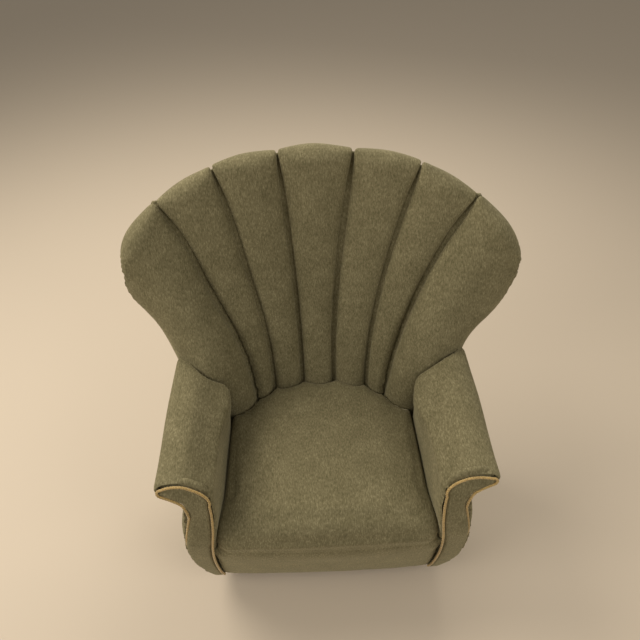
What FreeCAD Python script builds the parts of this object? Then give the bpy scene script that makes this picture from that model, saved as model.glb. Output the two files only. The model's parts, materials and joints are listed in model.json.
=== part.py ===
import FreeCAD, Part
import math
import os

# Fan-back upholstered armchair. Millimetres, +Z up, the sitter faces -Y.
# The origin is on the floor, under the middle of the chair.

doc = FreeCAD.newDocument("fan_back_armchair")

# Driving dimensions: alias, value, what it measures
driving_sizes = [
    ("chair_width", 1066, "across the seams at the edges of the two wings"),
    ("chair_depth", 814, "seat nose to the back of the rolled rim"),
    ("chair_height", 1113, "floor to the top of the middle channel"),
    ("seat_width", 568, "between the inner faces of the arms"),
    ("seat_depth", 522, "seat nose to the foot of the back"),
    ("seat_height", 450, "floor to the crown of the seat"),
    ("seat_crown", 22, "rise of the seat from its sides to its middle"),
    ("seat_bow", 9, "how far the front bows out at its middle"),
    ("seat_seam_height", 332, "floor to the seam under the seat nose"),
    ("frame_top", 310, "floor to the top of the seat frame"),
    ("ground_clearance", 60, "floor to the underside of the seat frame"),
    ("arm_height", 632, "floor to the top of the arms"),
    ("arm_width", 137, "inner face of an arm to the tip of its scroll"),
    ("facing_thickness", 11, "padded facing on the front of an arm"),
    ("piping_diameter", 7, "rope piping round the facings"),
    ("arm_board_thickness", 18, "plywood board behind a facing"),
    ("front_rail_thickness", 25, "timber of the front seat rail"),
    ("arm_side_board_thickness", 12, "plywood board under the padding of an arm"),
    ("back_rail_thickness", 34, "laminated rail at the back of the base"),
    ("arm_rail_height", 34, "timber rail under the arm scroll"),
    ("post_width", 46, "width of the timber posts in the wings"),
    ("post_thickness", 20, "thickness of the posts in the wings"),
    ("curved_rail_height", 56, "height of the curved rail under the back"),
    ("curved_rail_width", 96, "front to back size of the curved rail"),
    ("padding_depth", 28, "depth of the back padding at a seam"),
    ("wing_roll", 125, "fullest depth of the wing padding"),
    ("stave_thickness", 9, "plywood staves behind the channels"),
    ("rim_rail_thickness", 14, "rail behind the tops of the staves"),
    ("rim_rail_height", 34, "depth of the rim rail along the staves"),
    ("cover_thickness", 3, "backed cloth of the outside back"),
    ("cover_flange", 22, "how far the outside back turns forwards at its edge"),
    ("seat_cover_thickness", 4, "lined cloth of the seat"),
    ("deck_cloth_thickness", 2, "cloth over the seat springs"),
    ("dust_cover_thickness", 1.5, "cloth under the seat frame"),
    ("fit_gap", 0.3, "clearance between neighbouring pieces"),
    ("foot_top_diameter", 44, "turned foot where it meets the frame"),
    ("foot_bottom_diameter", 32, "turned foot where it meets its glide"),
    ("foot_inset", 31, "foot centre in from the rails beside it"),
    ("glide_diameter", 26, "felt-faced glide under a foot"),
    ("glide_thickness", 4, "height of a glide"),
    ("bolt_diameter", 8, "hanger bolt of a foot"),
    ("bolt_length", 60, "hanger bolt of a foot"),
    ("block_leg", 104, "side of a triangular corner block"),
    ("block_height", 50, "height of a corner block"),
    ("spring_wire", 4, "wire of the seat springs"),
    ("spring_width", 52, "side to side size of a seat spring"),
    ("spring_spacing", 98, "between the middles of two seat springs"),
    ("spring_pitch", 24, "between two cross runs of a spring"),
    ("clip_length", 22, "spring clip along its spring"),
    ("clip_wall", 1.2, "strip of a spring clip"),
    ("dust_cover_inset", 7, "edge of the dust cover in from the frame"),
]

sheet = doc.addObject("Spreadsheet::Sheet", "Sizes")
for number, (alias, value, meaning) in enumerate(driving_sizes, start=1):
    sheet.set("A%d" % number, alias)
    sheet.set("B%d" % number, str(value))
    sheet.set("C%d" % number, meaning)
    sheet.setAlias("B%d" % number, alias)
doc.recompute()


def size(alias):
    return float(getattr(sheet, alias))


def vec(x, y, z):
    return FreeCAD.Vector(x, y, z)


half_width = size("chair_width") / 2
half_depth = size("chair_depth") / 2
half_seat = size("seat_width") / 2
height = size("chair_height")
nose_y = -half_depth
gap = size("fit_gap")
frame_top = size("frame_top")
clearance = size("ground_clearance")
arm_height = size("arm_height")
arm_width = size("arm_width")
far = size("chair_width") + size("chair_depth")
axis_x = vec(1, 0, 0)
axis_z = vec(0, 0, 1)
origin = vec(0, 0, 0)

soft_nodes = []


def keep_shape(label, shape):
    # A form that no primitive gives: its sizes come from the sheet in this file
    feature = doc.addObject("Part::Feature", label)
    feature.Label = label
    feature.Shape = shape
    soft_nodes.append(label)
    return feature


def mirrored(shape):
    return shape.mirror(origin, axis_x)


def keep_pair(name, right_shape):
    keep_shape(name + "_right", right_shape)
    keep_shape(name + "_left", mirrored(right_shape))


def largest_solid(shape):
    return max(shape.Solids, key=lambda solid: solid.Volume)


def box_between(low, high):
    return Part.makeBox(high.x - low.x, high.y - low.y, high.z - low.z, low)


def arc(start, through, end):
    return Part.Arc(start, through, end).toShape()


def line(start, end):
    return Part.LineSegment(start, end).toShape()


# The back: seven padded channels between six seams, and a wing edge each side

# Per seam: foot (x of half seat, y of seat depth), middle (x of half width,
# y of half depth, z of the rise), top (x of half width, y of half depth, z of height)
middle_seam_shares = ((0.200, 0.886), (0.074, 0.411, 0.375), (0.191, 0.813, 0.964))
second_seam_shares = ((0.557, 0.886), (0.213, 0.347, 0.455), (0.505, 0.717, 0.947))
wing_seam_shares = ((0.666, 0.774), (0.408, 0.365, 0.542), (0.765, 0.555, 0.893))
seam_foot_share = 0.871
wing_edge_arm_shares = (0.76, 0.245, 0.275, 0.95)
wing_edge_top_shares = ((0.972, 0.240, 0.690), (0.974, 0.258, 0.792))
level_shares = (0.0, 0.2, 0.4, 0.6, 0.8, 1.0)
crown_shares = (0.15, 0.15, 0.14, 0.13, 0.115, 0.10)
wing_crest_shares = (0.84, 0.95, 1.0, 0.76, 0.50, 0.36)
wing_crest_place_share = 0.46
seam_foot_z = frame_top * seam_foot_share


def seam_points(shares):
    foot, middle, top = shares
    rise = height - seam_foot_z
    return [
        vec(foot[0] * half_seat, nose_y + foot[1] * size("seat_depth"), seam_foot_z),
        vec(middle[0] * half_width, middle[1] * half_depth, seam_foot_z + middle[2] * rise),
        vec(top[0] * half_width, top[1] * half_depth, top[2] * height),
    ]


def wing_edge_points():
    out, foot_y, knee_y, knee_z = wing_edge_arm_shares
    arm_x = half_seat + out * arm_width
    points = [
        vec(arm_x, foot_y * half_depth, seam_foot_z),
        vec(arm_x, knee_y * half_depth, knee_z * arm_height),
    ]
    for x_share, y_share, z_share in wing_edge_top_shares:
        points.append(vec(x_share * half_width, y_share * half_depth, z_share * height))
    return points


def curve_at(points, share):
    # Point and direction on the Bezier curve of the given points
    level = list(points)
    while len(level) > 2:
        level = [a * (1 - share) + b * share for a, b in zip(level, level[1:])]
    direction = level[1] - level[0]
    return level[0] * (1 - share) + level[1] * share, direction.normalize()


def mirrored_points(points):
    return [vec(-p.x, p.y, p.z) for p in points]


middle_seam = seam_points(middle_seam_shares)
second_seam = seam_points(second_seam_shares)
wing_seam = seam_points(wing_seam_shares)
wing_edge = wing_edge_points()
# Left and right edge of each channel on the right half, and whether it is the wing
channel_edges = {
    4: (mirrored_points(middle_seam), middle_seam, False),
    5: (middle_seam, second_seam, False),
    6: (second_seam, wing_seam, False),
    7: (wing_seam, wing_edge, True),
}


def channel_frame(number, share):
    # Foot of the frame on the left edge, width, and the across and forward directions
    left, right, _ = channel_edges[number]
    left_point, left_direction = curve_at(left, share)
    right_point, right_direction = curve_at(right, share)
    across = right_point - left_point
    width = across.Length
    across.normalize()
    forward = across.cross(left_direction + right_direction).normalize()
    return left_point, width, across, forward


def channel_section(number, index, grow):
    share = level_shares[index]
    left, width, across, forward = channel_frame(number, share)
    depth = size("padding_depth")
    root = left - forward * depth

    def place(along, ahead):
        return root + across * along + forward * ahead

    side = gap / 2 - grow
    low_left = place(side, -grow)
    left_front = place(side, depth)
    if channel_edges[number][2]:
        crest_at = wing_crest_place_share * width
        crest = wing_crest_shares[index] * size("wing_roll") + grow
        end_at = width + grow
        rise = crest - depth
        run = crest_at - side
        first_radius = (run * run + rise * rise) / (2 * rise)
        first_turn = math.atan2(run, first_radius - rise) / 2
        fall = crest + grow
        reach = end_at - crest_at
        last_radius = (reach * reach + fall * fall) / (2 * fall)
        last_turn = math.atan2(reach, last_radius - fall) / 2
        top = place(crest_at, crest)
        first_middle = place(crest_at - first_radius * math.sin(first_turn),
                             crest - first_radius * (1 - math.cos(first_turn)))
        last_middle = place(crest_at + last_radius * math.sin(last_turn),
                            crest - last_radius * (1 - math.cos(last_turn)))
        end = place(end_at, -grow)
        edges = [arc(left_front, first_middle, top), arc(top, last_middle, end), line(end, low_left)]
    else:
        right_front = place(width - side, depth)
        low_right = place(width - side, -grow)
        crest = place(width / 2, depth + crown_shares[index] * width + grow)
        edges = [arc(left_front, crest, right_front), line(right_front, low_right), line(low_right, low_left)]
    return Part.Wire([line(low_left, left_front)] + edges)


def channel_form(number, grow):
    wires = [channel_section(number, index, grow) for index in range(len(level_shares))]
    body = Part.makeLoft(wires, True, False)
    left, width, across, forward = channel_frame(number, level_shares[-1])
    root = left - forward * size("padding_depth")
    end_face = Part.Face(wires[-1])
    if grow:
        # The cutter turns about its own lower edge, which lies behind the root
        root = root - forward * grow
    roll = end_face.toNurbs().revolve(root, across * -1, 180)
    form = body.fuse(roll)
    return largest_solid(form)


def above_frame(shape, lift):
    below = box_between(vec(-far, -far, -far), vec(far, far, frame_top + lift))
    return largest_solid(shape.cut(below))


channel_cutters = []
for number in channel_edges:
    channel = above_frame(channel_form(number, 0), gap)
    cutter = channel_form(number, gap)
    channel_cutters.append(cutter)
    if number == 4:
        keep_shape("back_channel_4", channel)
    elif number == 7:
        channel_cutters.append(mirrored(cutter))
        wing_channel = channel
    else:
        if number == 6:
            # The full wing roll presses into the edge of its neighbour
            channel = largest_solid(channel.cut(channel_form(7, gap)))
        channel_cutters.append(mirrored(cutter))
        keep_shape("back_channel_%d" % number, channel)
        keep_shape("back_channel_%d" % (8 - number), mirrored(channel))


# The outlines of an arm, seen from the front: x as a share of the arm width out
# from the inner face, z as a share of the arm height

neck_share = 0.868
core_inner_share = 0.205
core_outer_share = 0.450
pad_outline_shares = [
    ("start", (0.0, 0.860)),
    ("arc", (0.055, 0.945), (0.250, 0.985)),
    ("arc", (0.575, 1.000), (0.880, 0.984)),
    ("arc", (1.000, 0.955), (0.930, 0.922)),
    ("arc", (0.720, 0.905), (0.445, neck_share)),
]
facing_outline_shares = [
    ("start", (0.212, 0.100)),
    ("arc", (0.240, 0.332), (0.105, 0.665)),
    ("arc", (0.050, 0.791), (0.045, 0.868)),
    ("arc", (0.085, 0.945), (0.250, 0.974)),
    ("arc", (0.550, 0.991), (0.825, 0.973)),
    ("arc", (0.915, 0.953), (0.850, 0.932)),
    ("arc", (0.700, 0.912), (0.500, 0.872)),
    ("arc", (0.455, 0.840), (0.470, 0.790)),
    ("arc", (0.660, 0.600), (0.735, 0.410)),
    ("arc", (0.690, 0.215), (0.475, 0.105)),
]
outside_panel_shares = [
    ("start", (0.475, neck_share)),
    ("arc", (0.515, 0.780), (0.640, 0.640)),
    ("arc", (0.800, 0.400), (0.780, 0.240)),
    ("arc", (0.700, 0.145), (0.500, 0.100)),
]


def arm_point(shares):
    return vec(half_seat + shares[0] * arm_width, 0, shares[1] * arm_height)


def outline_edges(rows, start):
    edges = []
    for row in rows:
        if row[0] == "start":
            start = arm_point(row[1])
        else:
            through, end = arm_point(row[1]), arm_point(row[2])
            edges.append(arc(start, through, end))
            start = end
    return edges, start


def prism(edges, front, back):
    # Solid between two planes square to Y, from an outline drawn at y = 0
    face = Part.Face(Part.Wire(edges))
    face.translate(vec(0, front, 0))
    return face.extrude(vec(0, back - front, 0))


# The lean of the arm front, seen from the side: y as a share of half the depth,
# z as a share of the arm height
front_lean_shares = ((-0.880, 0.060), (-0.945, 0.350), (-0.983, 0.650), (-0.938, 0.800), (-0.872, 0.990))


def front_lean(step):
    points = []
    for y_share, z_share in front_lean_shares:
        points.append(vec(0, y_share * half_depth + step, z_share * arm_height))
    foot = vec(0, points[0].y, -far)
    head_way = points[4] - points[3]
    head = points[4] + head_way * (far / head_way.Length)
    return [line(foot, points[0]), arc(points[0], points[1], points[2]),
            arc(points[2], points[3], points[4]), line(points[4], head)], foot, head


def lean_slab(front_step, back_step):
    # Solid between the leaning front moved back by two steps
    front_edges, front_foot, front_head = front_lean(front_step)
    back_edges, back_foot, back_head = front_lean(back_step)
    wire = Part.Wire(front_edges + [line(front_head, back_head)] + back_edges[::-1] + [line(back_foot, front_foot)])
    face = Part.Face(wire)
    face.translate(vec(-far, 0, 0))
    return face.extrude(vec(2 * far, 0, 0))


# The outside of the back: arcs round the back at five levels, each given by its
# side point and its middle point, then a slab between two steps along Y

tub_level_shares = [
    ((0.730, 0.233, 0.036), (0.500, 0.036)),
    ((0.740, 0.245, 0.260), (0.430, 0.260)),
    ((0.880, 0.355, 0.560), (0.590, 0.560)),
    ((1.020, 0.395, 0.700), (0.800, 0.800)),
    ((1.120, 0.400, 0.800), (0.985, 0.990)),
]


def tub_slab(front_step, back_step):
    wires = []
    for side, middle in tub_level_shares:
        front_arc = []
        back_arc = []
        for step, points in ((front_step, front_arc), (back_step, back_arc)):
            points.append(vec(-side[0] * half_width, side[1] * half_depth + step, side[2] * height))
            points.append(vec(0, middle[0] * half_depth + step, middle[1] * height))
            points.append(vec(side[0] * half_width, side[1] * half_depth + step, side[2] * height))
        wires.append(Part.Wire([arc(*front_arc), line(front_arc[2], back_arc[2]),
                                arc(*back_arc[::-1]), line(back_arc[0], front_arc[0])]))
    return Part.makeLoft(wires, True, False)


def behind_tub(front_step):
    # Everything behind the outside of the back, also past its two sides
    wires = []
    for side, middle in tub_level_shares:
        side_x, side_y, side_z = side[0] * half_width, side[1] * half_depth + front_step, side[2] * height
        middle_point = vec(0, middle[0] * half_depth + front_step, middle[1] * height)
        left, right = vec(-side_x, side_y, side_z), vec(side_x, side_y, side_z)
        out_right, out_left = vec(far, side_y, side_z), vec(-far, side_y, side_z)
        back_right, back_left = vec(far, far, side_z), vec(-far, far, side_z)
        wires.append(Part.Wire([line(out_left, left), arc(left, middle_point, right), line(right, out_right),
                                line(out_right, back_right), line(back_right, back_left),
                                line(back_left, out_left)]))
    return Part.makeLoft(wires, True, False)


# The outline of the outside back, seen from behind: x and z of its right edge

base_edge_shares = (0.735, 0.50)
scroll_edge_share = 0.93
knee_level_share = 0.75


def fan_outline(inset):
    depth = size("padding_depth")
    rim = []
    for number in (5, 6, 7):
        left, width, across, forward = channel_frame(number, 1.0)
        rim.append(left - forward * depth)
    wing_left, wing_width, wing_across, wing_forward = channel_frame(7, 1.0)
    tip = rim[2] + wing_across * wing_width
    knee_left, knee_width, knee_across, knee_forward = channel_frame(7, knee_level_share)
    knee = knee_left - knee_forward * depth + knee_across * knee_width
    tuck = depth * rim_tuck_share
    base_x = half_seat + base_edge_shares[0] * arm_width
    points = [vec(base_x - inset, 0, clearance - inset),
              vec(base_x - inset, 0, base_edge_shares[1] * arm_height),
              vec(half_seat + arm_width - inset, 0, scroll_edge_share * arm_height),
              vec(knee.x - inset, 0, knee.z),
              vec(tip.x - inset, 0, tip.z - tuck - inset)]
    for point in rim[::-1]:
        points.append(vec(point.x, 0, point.z - tuck - inset))
    points += mirrored_points(points)[::-1]
    edges = [line(a, b) for a, b in zip(points, points[1:] + points[:1])]
    return edges


rim_tuck_share = 0.45
tub_front = -size("cover_flange")
cover = prism(fan_outline(0), -far, far).common(tub_slab(tub_front, 0))
cover_hollow = prism(fan_outline(size("cover_thickness")), -far, far)
cover_hollow = cover_hollow.common(tub_slab(tub_front - size("cover_flange"), -size("cover_thickness")))
cover = cover.cut(cover_hollow)
for cutter in channel_cutters:
    cover = cover.cut(cutter)
keep_shape("outside_back_cover", largest_solid(cover))
rear_space = behind_tub(tub_front - gap)


# The arms: padding over the top and the inner face, a padded outside panel,
# and a facing edged with piping

core_inner_x = half_seat + core_inner_share * arm_width
core_outer_x = half_seat + core_outer_share * arm_width
neck_z = neck_share * arm_height
facing_back = size("facing_thickness")
board_front = facing_back + gap
board_back = board_front + size("arm_board_thickness")
wing_cutter = channel_form(7, gap)


def closed_facing():
    edges, end = outline_edges(facing_outline_shares, None)
    return edges + [line(end, arm_point(facing_outline_shares[0][1]))]


facing_prism = prism(closed_facing(), -far, far)


# The rope piping along the edge of each facing, on its leaning front

def lean_at(z):
    # Front of the lean at a height, taken on its two arcs
    for first, through, last in ((0, 1, 2), (2, 3, 4)):
        points = [vec(0, y * half_depth, part_z * arm_height) for y, part_z in front_lean_shares]
        curve = Part.Arc(points[first], points[through], points[last])
        if z <= points[last].z or last == 4:
            cut_line = Part.LineSegment(vec(0, -far, z), vec(0, far, z))
            met = curve.toShape().distToShape(cut_line.toShape())
            return met[1][0][0].y
    return -half_depth


piping_steps = 3


def piping_points():
    points = []
    outline, end = outline_edges(facing_outline_shares[:-1], None)
    for edge in outline:
        for step in range(piping_steps):
            on_edge = edge.valueAt(edge.FirstParameter
                                   + (edge.LastParameter - edge.FirstParameter) * step / piping_steps)
            points.append(on_edge)
    points.append(end)
    return [vec(point.x, lean_at(point.z), point.z) for point in points]


def rope(points, diameter):
    # Tube along straight runs joined by tangent arcs
    radius = diameter / 2
    edges = []
    start = points[0]
    for before, corner, after in zip(points, points[1:], points[2:]):
        way_in = (corner - before).normalize()
        way_out = (after - corner).normalize()
        turn = way_in.getAngle(way_out)
        trim = 0.45 * min((corner - before).Length, (after - corner).Length)
        arc_start = corner - way_in * trim
        arc_end = corner + way_out * trim
        bend = trim / math.tan(turn / 2)
        inward = (way_out - way_in).normalize()
        middle = corner + inward * (bend / math.cos(turn / 2) - bend)
        edges.append(line(start, arc_start))
        edges.append(arc(arc_start, middle, arc_end))
        start = arc_end
    edges.append(line(start, points[-1]))
    path = Part.Wire(edges)
    ring = Part.Wire([Part.Circle(points[0], points[1] - points[0], radius).toShape()])
    return path.makePipeShell([ring], True, False)


keep_pair("arm_piping", rope(piping_points(), size("piping_diameter")))
piping_space = rope(piping_points(), size("piping_diameter") + 2 * gap)


# Arm padding, facings, front boards and outside panels


def arm_pad():
    over, end = outline_edges(pad_outline_shares, None)
    low_z = size("seat_seam_height") + gap
    neck = vec(core_inner_x - gap, 0, neck_z)
    foot = vec(core_inner_x - gap, 0, low_z)
    start = arm_point(pad_outline_shares[0][1])
    inner_foot = vec(start.x, 0, low_z)
    pad = prism(over + [line(end, neck), line(neck, foot), line(foot, inner_foot), line(inner_foot, start)],
                -far, half_depth)
    pad = pad.cut(lean_slab(-far, gap))
    pad = pad.cut(facing_prism.common(lean_slab(0, board_back + gap)))
    pad = pad.cut(rear_space)
    return largest_solid(pad.cut(wing_cutter).cut(piping_space))


keep_pair("arm_pad", arm_pad())
arm_facing = facing_prism.common(lean_slab(0, facing_back)).cut(piping_space)
keep_pair("arm_facing", largest_solid(arm_facing))
keep_pair("arm_front_board", facing_prism.common(lean_slab(board_front, board_back)))


under_arm = box_between(vec(core_inner_x - gap, -far, -far), vec(far, far, neck_z + gap))
wing_channel = largest_solid(wing_channel.cut(under_arm))
keep_shape("back_channel_7", wing_channel)
keep_shape("back_channel_1", mirrored(wing_channel))


# The seat: one crowned cushion that rolls over its nose, in sections along X

deck_top = frame_top + size("spring_wire") + 2 * gap + size("deck_cloth_thickness") + 2 * gap
seat_stations = (-1.0, -0.5, 0.0, 0.5, 1.0)
border_back_share = 0.848
border_back_y = -half_depth * border_back_share
seat_peak_share = 0.42
seat_back_drop_share = 0.034
seat_front_drop_share = 0.020
nose_radius_share = 0.115
under_nose_share = 0.020


def tangent_through(start, end, level):
    # Middle point of the arc from start to end that leaves along level
    chord = end - start
    turn = level.getAngle(chord)
    middle = (start + end) * 0.5
    side = (level - chord * (level.dot(chord) / chord.dot(chord))).normalize()
    return middle + side * (chord.Length / 2 * math.tan(turn / 2))


def seat_section(station, inset, foot_z):
    x = station * (half_seat - gap - inset)
    fall = station * station
    depth = size("seat_depth")
    top = size("seat_height") - inset - size("seat_crown") * fall
    front = nose_y + inset + size("seat_bow") * fall
    back_y = nose_y + depth + size("padding_depth")
    radius = nose_radius_share * depth - inset
    peak = vec(x, nose_y + seat_peak_share * depth, top)
    drop = seat_front_drop_share * depth
    slope = 2 * math.atan(drop / (peak.y - front - radius))
    shoulder = vec(x, front + radius * (1 - math.sin(slope)), top - drop)
    centre = shoulder + vec(0, math.sin(slope), -math.cos(slope)) * radius
    nose = centre - vec(0, radius, 0)
    nose_turn = (math.pi / 2 + slope) / 2
    on_nose = centre + vec(0, -math.sin(nose_turn), math.cos(nose_turn)) * radius
    back_top = vec(x, back_y, top - seat_back_drop_share * depth)
    seam = vec(x, front + under_nose_share * depth, size("seat_seam_height"))
    foot = vec(x, seam.y, foot_z)
    back_foot = vec(x, back_y, foot_z)
    return Part.Wire([
        arc(back_top, tangent_through(peak, back_top, vec(0, 1, 0)), peak),
        arc(peak, tangent_through(peak, shoulder, vec(0, -1, 0)), shoulder),
        arc(shoulder, on_nose, nose),
        arc(nose, tangent_through(nose, seam, vec(0, 0, -1)), seam),
        line(seam, foot),
        line(foot, back_foot),
        line(back_foot, back_top),
    ])


def seat_form(inset, foot_z):
    wires = [seat_section(station, inset, foot_z) for station in seat_stations]
    form = Part.makeLoft(wires, True, False)
    over_border = vec(far, border_back_y + gap + inset, size("seat_seam_height") + inset)
    form = form.cut(box_between(vec(-far, -far, -far), over_border))
    for cutter in channel_cutters:
        form = form.cut(cutter)
    return form


seat_foot = deck_top + gap
whole_seat = largest_solid(seat_form(0, seat_foot))
cover_wall = size("seat_cover_thickness")
hollow = largest_solid(seat_form(cover_wall, seat_foot - cover_wall))
keep_shape("seat_cover", largest_solid(whole_seat.cut(hollow)))
keep_shape("seat_foam", largest_solid(seat_form(cover_wall + gap, seat_foot)))


# The front border under the seat, between the two facings

border_edge_share = 0.26
border_hem_share = 0.02


def border_section(station):
    x = station * (half_seat + border_edge_share * arm_width)
    fall = station * station
    step = -size("seat_bow") * (1 - fall)
    low, middle, high = [vec(x, y * half_depth + step, z * arm_height) for y, z in front_lean_shares[:3]]
    lean = Part.Arc(low, middle, high).toShape()
    bottom = vec(x, low.y + border_hem_share * half_depth, clearance)
    seam_z = size("seat_seam_height") - gap
    cut_line = line(vec(x, -far, seam_z), vec(x, far, seam_z))
    top = lean.distToShape(cut_line)[1][0][0]
    knee = vec(x, low.y, clearance + border_hem_share * half_depth)
    half_z = (knee.z + top.z) / 2
    half_line = line(vec(x, -far, half_z), vec(x, far, half_z))
    half_way = lean.distToShape(half_line)[1][0][0]
    return Part.Wire([
        arc(top, half_way, knee),
        line(knee, bottom),
        line(bottom, vec(x, border_back_y, clearance)),
        line(vec(x, border_back_y, clearance), vec(x, border_back_y, top.z)),
        line(vec(x, border_back_y, top.z), top),
    ])


def front_border():
    border = Part.makeLoft([border_section(station) for station in seat_stations], True, False)
    for side in (1, -1):
        facing_space = facing_prism if side == 1 else mirrored(facing_prism)
        border = border.cut(facing_space.translated(vec(-side * gap, 0, 0)))
    arm_space = box_between(vec(core_inner_x - gap, -far, -far), vec(far, far, far))
    border = border.cut(arm_space).cut(mirrored(arm_space))
    border = border.cut(piping_space).cut(mirrored(piping_space))
    return largest_solid(border)


keep_shape("front_border", front_border())


# Behind the padding: plywood staves, the rim rail, two posts and a curved rail

stave_edge_share = 0.05
stave_top_share = 0.965
wing_stave_outer_share = 0.90
wing_stave_levels = (0.02, 0.22, 0.42, 0.61, 0.80, stave_top_share)


def band_behind(number, low_share, high_share, from_share, to_share, near, thick, count):
    # Board behind a channel, between two levels and two shares of its width
    wires = []
    for index in range(count):
        share = low_share + (high_share - low_share) * index / (count - 1)
        left, width, across, forward = channel_frame(number, share)
        root = left - forward * (size("padding_depth") + near)
        corners = [root + across * (from_share * width), root + across * (to_share * width)]
        corners += [corners[1] - forward * thick, corners[0] - forward * thick]
        wires.append(Part.makePolygon(corners + corners[:1]))
    return Part.makeLoft(wires, True, False)


def stave_space(number):
    return band_behind(number, 0, 1, 0, 1, 0, size("stave_thickness") + 2 * gap, len(level_shares))


def stave(number):
    outer = wing_stave_outer_share if number == 7 else 1 - stave_edge_share
    board = band_behind(number, 0, stave_top_share, stave_edge_share, outer,
                        gap, size("stave_thickness"), len(level_shares))
    board = above_frame(board, gap)
    if number == 7:
        return largest_solid(board.cut(under_arm).cut(channel_form(6, gap)))
    if number == 6:
        return largest_solid(board.cut(wing_cutter).cut(stave_space(7)))
    return board


keep_shape("back_stave_4", stave(4))
for number in (5, 6, 7):
    right_stave = stave(number)
    keep_shape("back_stave_%d" % number, right_stave)
    keep_shape("back_stave_%d" % (8 - number), mirrored(right_stave))

behind_staves = size("stave_thickness") + 2 * gap
post_place_share = 0.54
post_levels = (0.0, 0.86)


def wing_post(grow):
    left, width, across, forward = channel_frame(7, 0.0)
    from_share = post_place_share - grow / width
    to_share = post_place_share + (size("post_width") + grow) / width
    post = band_behind(7, post_levels[0], post_levels[1], from_share, to_share, behind_staves - grow,
                       size("post_thickness") + 2 * grow, len(level_shares))
    return largest_solid(above_frame(post, gap - grow).cut(inside_cover))


inside_cover = tub_slab(-size("cover_thickness") - gap, far)
keep_pair("wing_post", wing_post(0))


# The padded outside panel of an arm

def outside_panel():
    edges, end = outline_edges(outside_panel_shares, None)
    start = arm_point(outside_panel_shares[0][1])
    low = vec(core_outer_x + gap, 0, end.z)
    high = vec(core_outer_x + gap, 0, start.z - gap)
    panel = prism(edges + [line(end, low), line(low, high), line(high, start)], -far, half_depth)
    panel = panel.cut(lean_slab(-far, gap))
    panel = panel.cut(facing_prism.common(lean_slab(0, board_back + gap)))
    panel = panel.cut(rear_space).cut(tub_slab(tub_front - gap, far))
    return largest_solid(panel.cut(piping_space).cut(wing_post(gap)))


keep_pair("outside_arm_panel", outside_panel())



def rim_rail():
    # One mitred rail along the rim, with a corner section at every seam
    stations = []
    top_frames = [channel_frame(number, stave_top_share) for number in (4, 5, 6, 7)]
    for inner, outer in zip(top_frames, top_frames[1:]):
        stations.append((outer[0], inner[3], outer[3], inner[2] + outer[2]))
    left, width, across, forward = top_frames[-1]
    stations.append((left + across * (width * wing_stave_outer_share), forward, forward, across * 2))
    wires = []
    for point, inner_forward, outer_forward, along in stations:
        forward = (inner_forward + outer_forward).normalize()
        lean = forward.dot(outer_forward)
        up = along.cross(forward).normalize() * -1
        near = (size("padding_depth") + behind_staves) / lean
        thick = size("rim_rail_thickness") / lean
        top = point - forward * near
        corners = [top, top - forward * thick]
        corners += [corners[1] - up * size("rim_rail_height"), top - up * size("rim_rail_height")]
        wires.append(Part.makePolygon(corners + corners[:1]))
    left_wires = [wire.mirror(origin, axis_x) for wire in wires[::-1]]
    rail = Part.makeLoft(left_wires + wires, True, True)
    for number in (4, 5, 6, 7):
        rail = rail.cut(stave_space(number))
        rail = rail.cut(mirrored(stave_space(number)))
    return largest_solid(rail.cut(inside_cover))


keep_shape("rim_rail", rim_rail())


def plan_band(inner_points, outer_points, low_z, high_z):
    inner = [vec(x, y, low_z) for x, y in inner_points]
    outer = [vec(x, y, low_z) for x, y in outer_points]
    wire = Part.Wire([arc(*inner), line(inner[2], outer[2]), arc(*outer[::-1]), line(outer[0], inner[0])])
    return Part.Face(wire).extrude(vec(0, 0, high_z - low_z))


curved_rail_front_share = 0.074
curved_rail_end_share = -0.235
side_rail_inner_x = core_inner_x
curved_rail_end_x = side_rail_inner_x - gap
curved_inner = [(-curved_rail_end_x, curved_rail_end_share * half_depth),
                (0, curved_rail_front_share * half_depth),
                (curved_rail_end_x, curved_rail_end_share * half_depth)]
curved_outer = [(x, y + size("curved_rail_width")) for x, y in curved_inner]
keep_shape("curved_back_rail", plan_band(curved_inner, curved_outer, frame_top - size("curved_rail_height"), frame_top))

# The base frame

back_rail_front = -size("cover_thickness") - gap - size("back_rail_thickness")
back_rail = tub_slab(back_rail_front, -size("cover_thickness") - gap)
back_rail_end = core_outer_x
back_rail = back_rail.common(box_between(vec(-back_rail_end, -far, clearance), vec(back_rail_end, far, frame_top)))
keep_shape("back_seat_rail", largest_solid(back_rail))
behind_rails = tub_slab(back_rail_front - gap, far)


def core_piece(low_z, high_z):
    # Timber in the heart of an arm, from the front board back to the wing post
    piece = box_between(vec(core_inner_x, -far, low_z), vec(core_outer_x, half_depth, high_z))
    return piece.cut(lean_slab(-far, board_back + gap))


keep_pair("side_seat_rail", largest_solid(core_piece(clearance, frame_top).cut(behind_rails)))

post_space = band_behind(7, 0, 1, -1, 2, behind_staves - gap, half_depth, len(level_shares))
arm_rail_low = neck_z - gap - size("arm_rail_height")
arm_rail = core_piece(arm_rail_low, neck_z - gap).cut(rear_space)
keep_pair("arm_top_rail", largest_solid(arm_rail.cut(post_space)))
side_board = core_piece(frame_top + gap, arm_rail_low - gap).cut(rear_space).cut(post_space)
side_board_x = core_inner_x + size("arm_side_board_thickness")
beyond_board = box_between(vec(side_board_x, -far, -far), vec(far, far, far))
keep_pair("arm_side_board", largest_solid(side_board.cut(beyond_board)))


# Primitives bound to the sheet


def bind(feature, **expressions):
    for name, expression in expressions.items():
        path = name.replace("_", ".")
        feature.setExpression(path, expression)
    return feature


def keep_node(feature, label):
    feature.Label = label
    node_labels.append(label)
    return feature


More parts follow.
